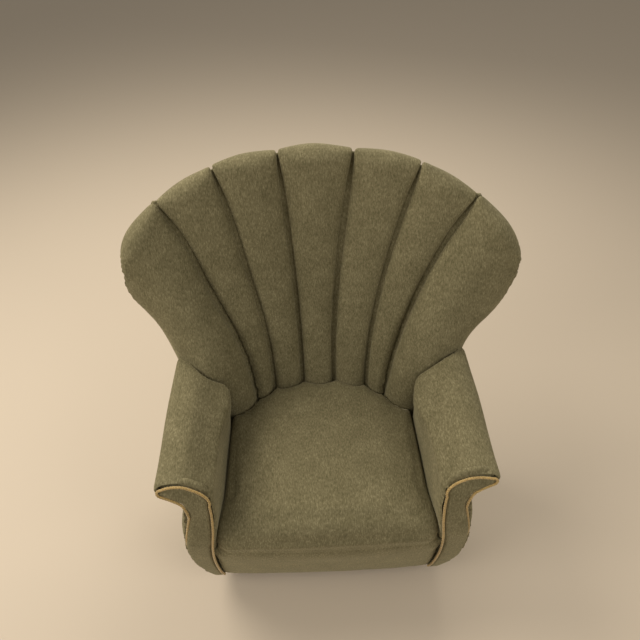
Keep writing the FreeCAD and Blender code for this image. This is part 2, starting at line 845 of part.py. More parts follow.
node_labels = []
core_inner = "(Sizes.seat_width / 2 + %s * Sizes.arm_width)" % core_inner_share
border_back = "(-%s * Sizes.chair_depth / 2)" % border_back_share
front_rail = doc.addObject("Part::Box", "front_seat_rail")
bind(front_rail, Length="2 * (%s - Sizes.fit_gap)" % core_inner, Width="Sizes.front_rail_thickness",
     Height="Sizes.frame_top - Sizes.ground_clearance", Placement_Base_x="Sizes.fit_gap - %s" % core_inner,
     Placement_Base_y="%s + Sizes.fit_gap" % border_back, Placement_Base_z="Sizes.ground_clearance")
keep_node(front_rail, "front_seat_rail")

# Feet, their glides and bolts, and the corner blocks over them

back_foot_share = 0.12
foot_x = "(%s - Sizes.fit_gap - Sizes.foot_inset)" % core_inner
front_foot_y = "(%s + Sizes.fit_gap + Sizes.front_rail_thickness + Sizes.foot_inset)" % border_back
back_foot_y = "(%s * Sizes.chair_depth / 2)" % back_foot_share
foot_places = {
    "front_right": (foot_x, front_foot_y),
    "front_left": ("-" + foot_x, front_foot_y),
    "back_right": (foot_x, back_foot_y),
    "back_left": ("-" + foot_x, back_foot_y),
}


def add_foot(name, place_x, place_y):
    turned = doc.addObject("Part::Cone", "turning_" + name)
    bind(turned, Radius1="Sizes.foot_bottom_diameter / 2", Radius2="Sizes.foot_top_diameter / 2",
         Height="Sizes.ground_clearance - Sizes.glide_thickness - 2 * Sizes.fit_gap",
         Placement_Base_x=place_x, Placement_Base_y=place_y,
         Placement_Base_z="Sizes.glide_thickness + Sizes.fit_gap")
    bore = doc.addObject("Part::Cylinder", "foot_bore_" + name)
    bind(bore, Radius="Sizes.bolt_diameter / 2 + Sizes.fit_gap", Height="Sizes.bolt_length",
         Placement_Base_x=place_x, Placement_Base_y=place_y,
         Placement_Base_z=bolt_foot + " - Sizes.fit_gap")
    foot = doc.addObject("Part::Cut", "foot_" + name)
    foot.Base = turned
    foot.Tool = bore
    keep_node(foot, "foot_" + name)
    glide = doc.addObject("Part::Cylinder", "glide_" + name)
    bind(glide, Radius="Sizes.glide_diameter / 2", Height="Sizes.glide_thickness",
         Placement_Base_x=place_x, Placement_Base_y=place_y)
    keep_node(glide, "glide_" + name)


bolt_foot = "(Sizes.ground_clearance + Sizes.block_height - Sizes.bolt_length)"
for place_name, (place_x, place_y) in foot_places.items():
    add_foot(place_name, place_x, place_y)
doc.recompute()
foot_centres = []
for place_name in foot_places:
    base = doc.getObject("glide_" + place_name).Placement.Base
    foot_centres.append(vec(base.x, base.y, 0))

block_leg = size("block_leg")


def corner_block(centre, toward_back):
    # Prism in the corner of two rails, with a hole for the bolt
    side = 1 if centre.x > 0 else -1
    inset = size("foot_inset")
    corner = vec(centre.x + side * inset, centre.y + toward_back * inset, clearance)
    points = [corner - vec(0, toward_back * block_leg, 0), corner - vec(side * block_leg, 0, 0)]
    points += [points[1] + vec(0, toward_back * block_leg, 0), corner + vec(0, toward_back * block_leg, 0)]
    block = Part.Face(Part.makePolygon(points + points[:1])).extrude(vec(0, 0, size("block_height")))
    if toward_back > 0:
        block = block.cut(behind_rails)
    else:
        block = block.cut(box_between(vec(-far, -far, -far), vec(far, corner.y, far)))
    hole = Part.makeCylinder(size("bolt_diameter") / 2 + gap, size("block_height"),
                             vec(centre.x, centre.y, clearance))
    return largest_solid(block.cut(hole))


blocks = [corner_block(centre, -1 if centre.y < 0 else 1) for centre in foot_centres]
keep_shape("corner_blocks", Part.makeCompound(blocks))

bolts = []
for centre in foot_centres:
    bolt_base = vec(centre.x, centre.y, clearance + size("block_height") - size("bolt_length"))
    bolts.append(Part.makeCylinder(size("bolt_diameter") / 2, size("bolt_length"), bolt_base))
keep_shape("foot_bolts", Part.makeCompound(bolts))


# Seat springs from the front rail to the curved rail, clips and the deck cloth

spring_z = frame_top + gap + size("spring_wire") / 2
spring_front_y = border_back_y + gap + size("front_rail_thickness") / 2 - size("clip_length") / 2
spring_places = [size("spring_spacing") * place for place in (-2, -1, 0, 1, 2)]
curved_front = arc(*[vec(x, y, 0) for x, y in curved_inner])


def curved_front_at(x):
    meet = line(vec(x, -far, 0), vec(x, far, 0))
    return curved_front.distToShape(meet)[1][0][0].y


def spring_path(x, start_y, end_y):
    # Cross runs joined by quarter arcs, with a straight lead at each end
    radius = size("spring_pitch") / 2
    half_run = size("spring_width") / 2 - radius
    lead = size("clip_length")
    runs = int((end_y - start_y - 2 * lead - 2 * radius) / size("spring_pitch"))
    last_lead = end_y - start_y - lead - 2 * radius - runs * size("spring_pitch")
    edges = []
    here = vec(x, start_y, spring_z)

    def go(there):
        edges.append(line(here, there))
        return there

    def turn(side, toward_side, there):
        # Quarter arc about a centre level with one of its ends
        centre = vec(here.x, there.y, spring_z) if toward_side else vec(there.x, here.y, spring_z)
        outward = ((here - centre) + (there - centre)).normalize()
        edges.append(arc(here, centre + outward * radius, there))
        return there

    here = go(here + vec(0, lead, 0))
    side = 1
    here = turn(side, False, here + vec(side * radius, radius, 0))
    for run in range(runs):
        here = go(vec(x + side * half_run, here.y, spring_z))
        here = turn(side, True, here + vec(side * radius, radius, 0))
        here = turn(side, False, here + vec(-side * radius, radius, 0))
        side = -side
    here = go(vec(x - side * radius, here.y, spring_z))
    here = turn(side, True, here + vec(side * radius, radius, 0))
    go(here + vec(0, last_lead, 0))
    return Part.Wire(edges)


def seat_spring(x):
    path = spring_path(x, spring_front_y, curved_front_at(x) + size("clip_length") / 2)
    ring = Part.Circle(vec(x, spring_front_y, spring_z), vec(0, 1, 0), size("spring_wire") / 2)
    return path.makePipeShell([Part.Wire([ring.toShape()])], True, False)


keep_shape("seat_springs", Part.makeCompound([seat_spring(x) for x in spring_places]))


def spring_clip(x, middle_y):
    # Folded strip over the lead of a spring
    half_length = size("clip_length") / 2 - 3 * gap
    wall = size("clip_wall")
    room = size("spring_wire") / 2 + gap
    low = vec(x - room - wall, middle_y - half_length, frame_top + gap)
    high = vec(x + room + wall, middle_y + half_length, spring_z + room + wall)
    tunnel = box_between(vec(x - room, -far, -far), vec(x + room, far, spring_z + room))
    return box_between(low, high).cut(tunnel)


clips = []
for x in spring_places:
    clips.append(spring_clip(x, spring_front_y + size("clip_length") / 2))
    clips.append(spring_clip(x, curved_front_at(x)))
keep_shape("spring_clips", Part.makeCompound(clips))


def deck_cloth():
    low_z = spring_z + size("spring_wire") / 2 + 2 * gap
    edge_x = half_seat - size("deck_cloth_thickness")
    front_y = spring_front_y + size("clip_length") + gap
    cloth = box_between(vec(-edge_x, front_y, low_z), vec(edge_x, half_depth, low_z + size("deck_cloth_thickness")))
    behind = plan_band([(x, y - size("clip_length") / 2 - gap) for x, y in curved_inner],
                       [(x, y + far) for x, y in curved_inner], 0, far)
    return largest_solid(cloth.cut(behind))


keep_shape("spring_deck_cloth", deck_cloth())


def dust_cover():
    edge = size("dust_cover_inset")
    high_z = clearance - gap
    low_z = high_z - size("dust_cover_thickness")
    sheet_form = box_between(vec(edge - core_outer_x, border_back_y + edge, low_z),
                             vec(core_outer_x - edge, half_depth, high_z))
    sheet_form = sheet_form.cut(tub_slab(back_rail_front + edge, far))
    for centre in foot_centres:
        hole = Part.makeCylinder(size("foot_top_diameter") / 2 + gap, clearance, centre)
        sheet_form = sheet_form.cut(hole)
    return largest_solid(sheet_form)


keep_shape("dust_cover", dust_cover())


# Checks, then one STEP file per sub-part

doc.recompute()
node_labels = soft_nodes + node_labels
for checked in doc.Objects:
    if "Invalid" in checked.State or "Error" in checked.State:
        raise RuntimeError("%s did not build: %s" % (checked.Label, checked.State))
os.makedirs("parts", exist_ok=True)
for label in node_labels:
    part_feature = doc.getObjectsByLabel(label)[0]
    part_shape = part_feature.Shape
    if part_shape.isNull() or not part_shape.isValid() or not part_shape.Solids:
        raise RuntimeError("%s has no valid solid" % label)
    part_shape.exportStep("parts/%s.step" % label)
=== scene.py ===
# Fan-back armchair dressed in green chenille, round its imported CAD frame.
import json
import math

import bpy
import bmesh
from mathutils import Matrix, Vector, noise
from mathutils.bvhtree import BVHTree


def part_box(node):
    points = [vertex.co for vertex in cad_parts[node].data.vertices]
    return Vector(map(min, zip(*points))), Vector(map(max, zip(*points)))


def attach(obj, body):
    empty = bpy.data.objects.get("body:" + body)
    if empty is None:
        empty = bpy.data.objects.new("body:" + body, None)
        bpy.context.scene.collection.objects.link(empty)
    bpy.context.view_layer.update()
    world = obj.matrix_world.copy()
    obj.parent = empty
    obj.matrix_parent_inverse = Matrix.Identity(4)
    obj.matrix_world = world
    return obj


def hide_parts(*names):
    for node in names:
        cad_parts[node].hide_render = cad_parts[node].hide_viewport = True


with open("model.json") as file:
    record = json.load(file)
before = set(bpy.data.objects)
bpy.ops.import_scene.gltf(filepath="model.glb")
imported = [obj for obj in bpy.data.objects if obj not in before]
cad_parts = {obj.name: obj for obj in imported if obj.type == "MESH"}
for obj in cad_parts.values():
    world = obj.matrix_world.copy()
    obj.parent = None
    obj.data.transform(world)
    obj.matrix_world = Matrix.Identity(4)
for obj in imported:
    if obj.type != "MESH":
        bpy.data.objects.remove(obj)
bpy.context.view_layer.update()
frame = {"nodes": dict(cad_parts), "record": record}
nodes = frame["nodes"]
print("frame loaded:", len(nodes), "nodes")


# Materials

def linear(hexColour):
    # sRGB hex to the linear RGBA that the shader sockets take
    channels = [int(hexColour[i:i + 2], 16) / 255 for i in (1, 3, 5)]
    return tuple([c / 12.92 if c <= 0.04045 else ((c + 0.055) / 1.055) ** 2.4 for c in channels] + [1.0])


def addNode(tree, kind, settings=None, inputs=None):
    # settings are the node's own properties; an input is a value or (node, output)
    node = tree.nodes.new(kind)
    for name, value in (settings or {}).items():
        setattr(node, name, value)
    for name, value in (inputs or {}).items():
        if isinstance(value, tuple) and isinstance(value[0], bpy.types.Node):
            tree.links.new(value[0].outputs[value[1]], node.inputs[name])
        else:
            node.inputs[name].default_value = value
    return node


def setRamp(node, stops):
    ramp = node.color_ramp
    while len(ramp.elements) < len(stops):
        ramp.elements.new(0.5)
    for element, (place, colour) in zip(ramp.elements, stops):
        element.position = place
        element.color = linear(colour)
    return node


def newMaterial(name):
    material = bpy.data.materials.new(name)
    material.use_nodes = True
    tree = material.node_tree
    tree.nodes.clear()
    output = addNode(tree, "ShaderNodeOutputMaterial")
    shader = addNode(tree, "ShaderNodeBsdfPrincipled")
    tree.links.new(shader.outputs["BSDF"], output.inputs["Surface"])
    return material, tree, shader


chenille = {
    # The mottle's tones: deep is partly the pile's own darker colour and partly painted shade between the
    # tufts, light partly its own paler colour and partly a painted highlight on the tips of the pile
    "deep": "#5A5439",            # between the tufts
    "middle": "#736B4E",
    "light": "#928968",           # tips of the pile
    "tuftPerMetre": (330, 120, 120),   # 3 mm tufts, drawn 8 mm long along the pile
    "fleckPerMetre": 620,         # 1.6 mm flecks, coarse enough to show
    "fleckShare": 0.35,
    "patchPerMetre": 17,          # brushed patches about 60 mm across
    "patchShare": 0.28,
    "stops": (0.27, 0.52, 0.77),  # where deep, middle and light lie in the mottle
    "pileHeight": 0.0011,
    "pileBump": 0.55,
    "roughness": 0.92,
    "specular": 0.18,
    "sheenWeight": 0.36,
    "sheenRoughness": 0.45,
    "sheenTint": "#D6CDA8",
}


def makeChenille(name, recipe):
    # Chenille upholstery, a woven cut pile: soft, mottled, pale where it turns away
    material, tree, shader = newMaterial(name)
    place = addNode(tree, "ShaderNodeTexCoord")
    stretched = addNode(tree, "ShaderNodeMapping", inputs={
        "Vector": (place, "Object"), "Scale": recipe["tuftPerMetre"]})
    tufts = addNode(tree, "ShaderNodeTexNoise", inputs={
        "Vector": (stretched, "Vector"), "Scale": 1.0, "Detail": 3.0, "Roughness": 0.6})
    flecks = addNode(tree, "ShaderNodeTexNoise", inputs={
        "Vector": (place, "Object"), "Scale": recipe["fleckPerMetre"], "Detail": 1.0})
    patches = addNode(tree, "ShaderNodeTexNoise", inputs={
        "Vector": (place, "Object"), "Scale": recipe["patchPerMetre"], "Detail": 3.0, "Roughness": 0.55})
    fine = addNode(tree, "ShaderNodeMath", {"operation": "MULTIPLY_ADD"}, {
        0: (flecks, "Fac"), 1: recipe["fleckShare"], 2: -recipe["fleckShare"] / 2})
    mottled = addNode(tree, "ShaderNodeMath", {"operation": "ADD"}, {
        0: (tufts, "Fac"), 1: (fine, "Value")})
    broad = addNode(tree, "ShaderNodeMath", {"operation": "MULTIPLY_ADD"}, {
        0: (patches, "Fac"), 1: recipe["patchShare"], 2: -recipe["patchShare"] / 2})
    tone = addNode(tree, "ShaderNodeMath", {"operation": "ADD"}, {
        0: (mottled, "Value"), 1: (broad, "Value")})
    # The ramp puts painted shade in the hollows of the pile bump and a painted highlight on its tips, over
    # the pile's own random mottle
    colours = zip(recipe["stops"], (recipe["deep"], recipe["middle"], recipe["light"]))
    colour = setRamp(addNode(tree, "ShaderNodeValToRGB", inputs={"Fac": (tone, "Value")}), list(colours))
    bump = addNode(tree, "ShaderNodeBump", inputs={
        "Height": (mottled, "Value"), "Strength": recipe["pileBump"], "Distance": recipe["pileHeight"]})
    tree.links.new(colour.outputs["Color"], shader.inputs["Base Color"])
    tree.links.new(bump.outputs["Normal"], shader.inputs["Normal"])
    shader.inputs["Roughness"].default_value = recipe["roughness"]
    shader.inputs["Specular IOR Level"].default_value = recipe["specular"]
    shader.inputs["Sheen Weight"].default_value = recipe["sheenWeight"]
    shader.inputs["Sheen Roughness"].default_value = recipe["sheenRoughness"]
    shader.inputs["Sheen Tint"].default_value = linear(recipe["sheenTint"])
    return material


woodGrain = {
    "lengthwise": 0.12,           # how much the rings are drawn out along the grain
    "distortion": 6.0,
    "porePerMetre": 900.0,
    "poreShare": 0.35,
    "poreBump": 0.25,
    "poreDepth": 0.0003,
}


def makeGrained(name, dark, light, ringPerMetre, roughness, coat=0.0):
    # Wood: growth rings cut lengthwise, softened by fine pores
    material, tree, shader = newMaterial(name)
    place = addNode(tree, "ShaderNodeTexCoord")
    along = addNode(tree, "ShaderNodeMapping", inputs={
        "Vector": (place, "Object"), "Scale": (1.0, woodGrain["lengthwise"], 1.0)})
    rings = addNode(tree, "ShaderNodeTexWave", {"wave_type": "RINGS", "rings_direction": "Y"}, {
        "Vector": (along, "Vector"), "Scale": ringPerMetre, "Distortion": woodGrain["distortion"],
        "Detail": 3.0, "Detail Scale": 1.6})
    pores = addNode(tree, "ShaderNodeTexNoise", inputs={
        "Vector": (along, "Vector"), "Scale": woodGrain["porePerMetre"], "Detail": 2.0})
    mixed = addNode(tree, "ShaderNodeMath", {"operation": "MULTIPLY_ADD"}, {
        0: (pores, "Fac"), 1: woodGrain["poreShare"], 2: (rings, "Fac")})
    colour = setRamp(addNode(tree, "ShaderNodeValToRGB", inputs={"Fac": (mixed, "Value")}), [
        (0.1, dark), (1.0, light)])
    bump = addNode(tree, "ShaderNodeBump", inputs={
        "Height": (pores, "Fac"), "Strength": woodGrain["poreBump"], "Distance": woodGrain["poreDepth"]})
    tree.links.new(colour.outputs["Color"], shader.inputs["Base Color"])
    tree.links.new(bump.outputs["Normal"], shader.inputs["Normal"])
    shader.inputs["Roughness"].default_value = roughness
    shader.inputs["Coat Weight"].default_value = coat
    return material


def makeFine(name, dark, light, grainPerMetre, roughness, metallic=0.0, depth=0.0002):
    # Yarn, steel, moulded plastic, foam or woven cloth: one fine noise in colour and bump
    material, tree, shader = newMaterial(name)
    place = addNode(tree, "ShaderNodeTexCoord")
    grain = addNode(tree, "ShaderNodeTexNoise", inputs={
        "Vector": (place, "Object"), "Scale": grainPerMetre, "Detail": 4.0, "Roughness": 0.6})
    colour = setRamp(addNode(tree, "ShaderNodeValToRGB", inputs={"Fac": (grain, "Fac")}), [
        (0.3, dark), (0.7, light)])
    bump = addNode(tree, "ShaderNodeBump", inputs={
        "Height": (grain, "Fac"), "Strength": 0.5, "Distance": depth})
    tree.links.new(colour.outputs["Color"], shader.inputs["Base Color"])
    tree.links.new(bump.outputs["Normal"], shader.inputs["Normal"])
    shader.inputs["Roughness"].default_value = roughness
    shader.inputs["Metallic"].default_value = metallic
    return material


cloth = makeChenille("chenillePile", chenille)
# The gold yarn's tones run from a painted shadow brown to a painted highlight gold, spread at random by
# fine noise over the yarn's own mottle
goldYarn = makeFine("viscoseCordYarn", "#5E4418", "#DDBB70", 700, 0.42, depth=0.0003)
yarnSheen = 0.35
goldYarn.node_tree.nodes["Principled BSDF"].inputs["Sheen Weight"].default_value = yarnSheen
beech = makeGrained("planedBeech", "#A5743F", "#D2A06A", 26, 0.55)
birchPly = makeGrained("sandedBirchPly", "#B98D5B", "#DDBB8B", 14, 0.6)
darkWood = makeGrained("stainedTurnedBeech", "#1C0F08", "#3A2214", 30, 0.35, coat=0.3)
springSteel = makeFine("oilTemperedWire", "#4E4E50", "#707072", 1500, 0.38, 1.0)
boltSteel = makeFine("zincPlatedSteel", "#8E8F90", "#B4B5B3", 1200, 0.35, 1.0)
foamCell = makeFine("openCellFoam", "#D8CDA8", "#F0E8C9", 1500, 0.95, depth=0.0006)
blackCloth = makeFine("spunbondCambric", "#0D0D0E", "#1C1C1D", 1800, 0.9, depth=0.0003)
glidePlastic = makeFine("mouldedPolyamide", "#141414", "#232323", 900, 0.6)
print("materials made")


# Mesh helpers

def newObject(name, mesh):
    made = bpy.data.objects.new(name, mesh)
    bpy.context.scene.collection.objects.link(made)
    return made


weldDistance = 0.00002


def copyOfNodes(name, nodeNames):
    # The CAD solids' triangles welded into one fresh mesh
    work = bmesh.new()
    for nodeName in nodeNames:
        work.from_mesh(nodes[nodeName].data)
    bmesh.ops.remove_doubles(work, verts=work.verts, dist=weldDistance)
    mesh = bpy.data.meshes.new(name)
    work.to_mesh(mesh)
    work.free()
    return newObject(name, mesh)


def bakeModifiers(obj):
    # The evaluated shape becomes the object's own mesh, with no modifier left on it
    graph = bpy.context.evaluated_depsgraph_get()
    baked = bpy.data.meshes.new_from_object(obj.evaluated_get(graph))
    obj.modifiers.clear()
    old = obj.data
    obj.data = baked
    bpy.data.meshes.remove(old)


def remesh(obj, voxel, smoothSteps):
    # An even mesh of small voxels, its edges eased by the smoothing steps
    modifier = obj.modifiers.new("voxels", "REMESH")
    modifier.mode = "VOXEL"
    modifier.voxel_size = voxel
    modifier.use_smooth_shade = True
    easing = obj.modifiers.new("easing", "SMOOTH")
    easing.factor = 0.5
    easing.iterations = smoothSteps
    bakeModifiers(obj)


def coordinates(obj):
    return [v.co.copy() for v in obj.data.vertices]


def setCoordinates(obj, points):
    flat = [value for point in points for value in point]
    obj.data.vertices.foreach_set("co", flat)
    obj.data.update()


def moveAlongNormals(obj, amount):
    # amount(point, normal) in metres, measured on the mesh as it stands
    points = [v.co + v.normal * amount(v.co, v.normal) for v in obj.data.vertices]
    setCoordinates(obj, points)


def subdivide(obj):
    modifier = obj.modifiers.new("rounding", "SUBSURF")
    modifier.levels = 1
    modifier.render_levels = 1
    bakeModifiers(obj)


clothSettings = {
    "frames": 12,
    "quality": 3,
    "pressure": 4.0,
    "mass": 0.35,
    "tension": 12.0,
    "shear": 6.0,
    "bending": 0.6,
}


def inflate(obj, cap):
    # Cloth under inner pressure, no gravity; no point moves further than cap
    before = coordinates(obj)
    modifier = obj.modifiers.new("cloth", "CLOTH")
    fabric = modifier.settings
    fabric.quality = clothSettings["quality"]
    fabric.mass = clothSettings["mass"]
    fabric.tension_stiffness = clothSettings["tension"]
    fabric.compression_stiffness = clothSettings["tension"]
    fabric.shear_stiffness = clothSettings["shear"]
    fabric.bending_stiffness = clothSettings["bending"]
    fabric.use_pressure = True
    fabric.uniform_pressure_force = clothSettings["pressure"]
    fabric.effector_weights.gravity = 0.0
    modifier.collision_settings.use_collision = False
    modifier.point_cache.frame_start = 1
    modifier.point_cache.frame_end = clothSettings["frames"]
    for frameNumber in range(1, clothSettings["frames"] + 1):
        bpy.context.scene.frame_set(frameNumber)
    bakeModifiers(obj)
    bpy.context.scene.frame_set(1)
    moved = []
    for old, vertex in zip(before, obj.data.vertices):
        step = vertex.co - old
        if step.length > cap:
            step = step * (cap / step.length)
        moved.append(old + step)
    setCoordinates(obj, moved)


def smoothStep(low, high, value):
    share = min(max((value - low) / (high - low), 0.0), 1.0)
    return share * share * (3 - 2 * share)


def finishPiece(obj, material, replaced):
    # Shading, material and slot, the body it rides on and the CAD nodes it stands for
    for polygon in obj.data.polygons:
        polygon.use_smooth = True
    obj.data.materials.clear()
    obj.data.materials.append(material)
    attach(obj, "root")
    if replaced:
        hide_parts(*replaced)


# Smooth moves, most of them under 20 mm, that bring the soft pieces to the photographed
# chair, which isn't quite symmetric. Each row has the groups that follow it, its place,
# how far off it has faded to about a third, and the shift

moves = [
    # the back: seams towards the left, the right wing fuller below
    ("back", (0.035, 0.25, 0.80), (0.080, 0.60, 0.60), (-0.016, 0, 0)),
    ("back", (-0.290, 0.15, 0.78), (0.090, 0.30, 0.15), (-0.017, 0, 0)),
    ("back", (-0.170, 0.20, 0.80), (0.060, 0.30, 0.22), (-0.006, 0, 0)),
    ("back", (0.500, 0.10, 0.745), (0.085, 0.40, 0.080), (0.034, 0, -0.036)),
    ("back", (0.540, 0.10, 0.870), (0.060, 0.40, 0.070), (0.006, 0, 0)),
    ("back", (-0.500, 0.10, 0.750), (0.070, 0.40, 0.070), (-0.009, 0, -0.010)),
    ("back", (-0.540, 0.10, 0.880), (0.060, 0.40, 0.060), (0.006, 0, 0)),
    # the wings: rounder below their tips
    ("back", (0.510, 0.12, 0.850), (0.055, 0.40, 0.065), (0.017, 0, 0)),
    ("back", (-0.512, 0.12, 0.820), (0.055, 0.40, 0.060), (-0.013, 0, 0)),
    # the arms: their back ends rise outside and swell towards the seat
    ("arm", (0.415, 0.04, 0.610), (0.060, 0.07, 0.060), (-0.002, 0.014, 0.013)),
    ("arm", (-0.415, 0.04, 0.610), (0.060, 0.07, 0.060), (0.006, 0.017, 0.016)),
    ("arm", (0.268, -0.08, 0.550), (0.050, 0.075, 0.085), (-0.024, -0.004, 0.001)),
    ("arm", (-0.270, -0.065, 0.555), (0.050, 0.075, 0.085), (0.021, -0.004, 0.001)),
    # the arms: fuller outside, rounder along the inner edge, the right scroll flatter
    ("arm", (0.440, -0.10, 0.570), (0.050, 0.20, 0.10), (0.016, 0, 0)),
    ("arm", (-0.440, -0.10, 0.570), (0.050, 0.20, 0.10), (-0.011, 0, 0)),
    ("arm front", (0.298, -0.20, 0.614), (0.052, 0.60, 0.048), (0.010, 0, -0.011)),
    ("arm front", (-0.298, -0.20, 0.614), (0.052, 0.60, 0.048), (-0.010, 0, -0.011)),
    ("arm front", (0.365, -0.38, 0.628), (0.055, 0.18, 0.038), (0, 0, -0.019)),
    ("arm front", (-0.360, -0.38, 0.628), (0.055, 0.18, 0.038), (0, 0, -0.007)),
    # the fronts of the arms: the left foot narrower, the panels fuller at the neck
    ("front panel", (-0.390, -0.37, 0.140), (0.050, 0.20, 0.110), (0.018, 0, 0.004)),
    ("front panel", (0.390, -0.37, 0.120), (0.050, 0.20, 0.100), (-0.006, 0, 0.002)),
    ("front seat panel", (-0.240, -0.36, 0.060), (0.260, 0.12, 0.090), (0, 0, 0.008)),
    ("panel", (0.392, -0.36, 0.130), (0.045, 0.10, 0.110), (-0.005, 0, 0)),
    ("panel", (-0.385, -0.36, 0.130), (0.045, 0.10, 0.110), (0.005, 0, 0)),
    ("panel", (0.385, -0.38, 0.290), (0.045, 0.08, 0.080), (-0.003, 0, 0)),
    ("panel", (-0.385, -0.38, 0.290), (0.045, 0.08, 0.080), (0.006, 0, 0)),
    ("panel", (0.372, -0.36, 0.470), (0.040, 0.10, 0.090), (0.014, 0, 0)),
    ("panel", (-0.372, -0.36, 0.470), (0.040, 0.10, 0.090), (-0.014, 0, 0)),
    # the wing's foot swells forwards over the left arm
    ("back arm", (-0.315, 0.00, 0.620), (0.055, 0.13, 0.070), (0, -0.020, -0.002)),
    # the border fills out under the seat's nose and out to the piping
    ("seat", (0, -0.385, 0.300), (0.220, 0.05, 0.050), (0, -0.006, 0)),
    ("seat", (0.312, -0.37, 0.130), (0.040, 0.10, 0.170), (0.014, 0.002, 0)),
    ("seat", (-0.312, -0.37, 0.130), (0.040, 0.10, 0.170), (-0.013, 0.002, 0)),
    # the pads reach their piping, and the scrolls' undersides rise at the necks
    ("arm", (0.360, -0.40, 0.622), (0.100, 0.03, 0.035), (0, -0.009, 0.002)),
    ("arm", (-0.360, -0.40, 0.622), (0.100, 0.03, 0.035), (0, -0.009, 0.002)),
    ("front", (0.352, -0.38, 0.545), (0.034, 0.20, 0.028), (0.004, 0, 0.009)),
    ("front", (-0.352, -0.38, 0.545), (0.034, 0.20, 0.028), (-0.004, 0, 0.011)),
    # the seat spreads towards the piping at its two front corners
    ("seat", (0.284, -0.385, 0.370), (0.050, 0.075, 0.075), (0.020, 0, 0)),
    ("seat", (-0.284, -0.385, 0.370), (0.050, 0.075, 0.075), (-0.020, 0, 0)),
    ("arm", (0.284, -0.385, 0.360), (0.030, 0.075, 0.075), (0.017, 0, 0)),
    ("arm", (-0.284, -0.385, 0.360), (0.030, 0.075, 0.075), (-0.017, 0, 0)),
]
fadedOut = 9.0   # a move stops at three reaches; this is the square of that

# Where two channels meet at the rim their corners press together: the top of each
# seam and its direction there, mirrored for the left half
rimMeetings = {
    "seams": [((0.1026, 0.331, 1.072), (0.093, 0.242, 0.966)),
              ((0.2710, 0.292, 1.053), (0.266, 0.256, 0.929)),
              ((0.4110, 0.226, 0.993), (0.435, 0.174, 0.883))],
    "lift": 0.011, "liftReach": 0.050,
    "tightLift": 0.013, "tightReach": 0.026,
    "press": 0.60, "pressReach": 0.042,
    "farthest": 0.15,
}


def movedPoint(point, group):
    total = point.copy()
    for groups, place, reach, shift in moves:
        if group not in groups.split():
            continue
        away = sum(((p - a) / r) ** 2 for p, a, r in zip(point, place, reach))
        if away < fadedOut:
            total += Vector(shift) * math.exp(-away)
    if group != "back":
        return total
    for top, along in rimMeetings["seams"]:
        for side in (-1, 1):
            place = Vector((side * top[0], top[1], top[2]))
            offset = point - place
            if offset.length > rimMeetings["farthest"]:
                continue
            direction = Vector((side * along[0], along[1], along[2]))
            across = Vector((direction.z, 0, -direction.x)).normalized()
            wide = math.exp(-(offset.length / rimMeetings["liftReach"]) ** 2)
            tight = math.exp(-(offset.length / rimMeetings["tightReach"]) ** 2)
            total += direction * (rimMeetings["lift"] * wide + rimMeetings["tightLift"] * tight)
            pressed = math.exp(-(offset.length / rimMeetings["pressReach"]) ** 2)
            total -= across * (offset.dot(across) * rimMeetings["press"] * pressed)
    return total


def pressNear(obj, neighbourName, reach, depth):
    # The skin dips where it meets a finished neighbour, as it does where two pads press
    # together
    work = bmesh.new()
    work.from_mesh(bpy.data.objects[neighbourName].data)
    neighbour = BVHTree.FromBMesh(work)
    work.free()

    def dip(point, normal):
        distance = neighbour.find_nearest(point, reach)[3]
        return 0.0 if distance is None else -depth * (1 - distance / reach) ** 2

    moveAlongNormals(obj, dip)


def movePoints(obj, group):
    setCoordinates(obj, [movedPoint(point, group) for point in coordinates(obj)])


# The padded pieces: each starts from its CAD solid, is remeshed, eased and inflated.
# What lies inside a piece is merged with it first. The inset makes room for the inflated
# skin, and cap is the furthest that a point moves

channel = {"group": "back", "voxel": 0.0065, "ease": 7, "inset": 0.002, "cap": 0.004, "fill": 0.8}
wing = {**channel, "voxel": 0.0075, "cap": 0.005}
armPad = {"group": "arm", "voxel": 0.0065, "ease": 9, "inset": 0.0015, "cap": 0.004, "fill": 0.8}
outsideArm = {"group": "panel", "voxel": 0.0045, "ease": 16, "inset": 0.001, "cap": 0.003, "fill": 0.6}
armFacing = {"group": "front", "voxel": 0.0035, "ease": 12, "inset": 0.0, "cap": 0.003, "fill": 0.5}

paddedPieces = {
    "backChannel1": {**wing, "nodes": ["back_channel_1"]},
    "backChannel2": {**channel, "nodes": ["back_channel_2"]},
    "backChannel3": {**channel, "nodes": ["back_channel_3"]},
    "backChannel4": {**channel, "nodes": ["back_channel_4"]},
    "backChannel5": {**channel, "nodes": ["back_channel_5"]},
    "backChannel6": {**channel, "nodes": ["back_channel_6"]},
    "backChannel7": {**wing, "nodes": ["back_channel_7"]},
    "seatAndBorder": {
        "group": "seat", "nodes": ["seat_cover", "front_border"], "inside": ["seat_foam"],
        "voxel": 0.0075, "ease": 20, "inset": 0.0015, "cap": 0.005, "fill": 0.7},
    "armPadLeft": {**armPad, "nodes": ["arm_pad_left"], "presses": "backChannel1"},
    "armPadRight": {**armPad, "nodes": ["arm_pad_right"], "presses": "backChannel7"},
    "outsideArmLeft": {
        **outsideArm, "nodes": ["outside_arm_panel_left"],
        "inside": ["arm_side_board_left", "arm_front_board_left"]},
    "outsideArmRight": {
        **outsideArm, "nodes": ["outside_arm_panel_right"],
        "inside": ["arm_side_board_right", "arm_front_board_right"]},
    "armFacingLeft": {**armFacing, "nodes": ["arm_facing_left"]},
    "armFacingRight": {**armFacing, "nodes": ["arm_facing_right"]},
}

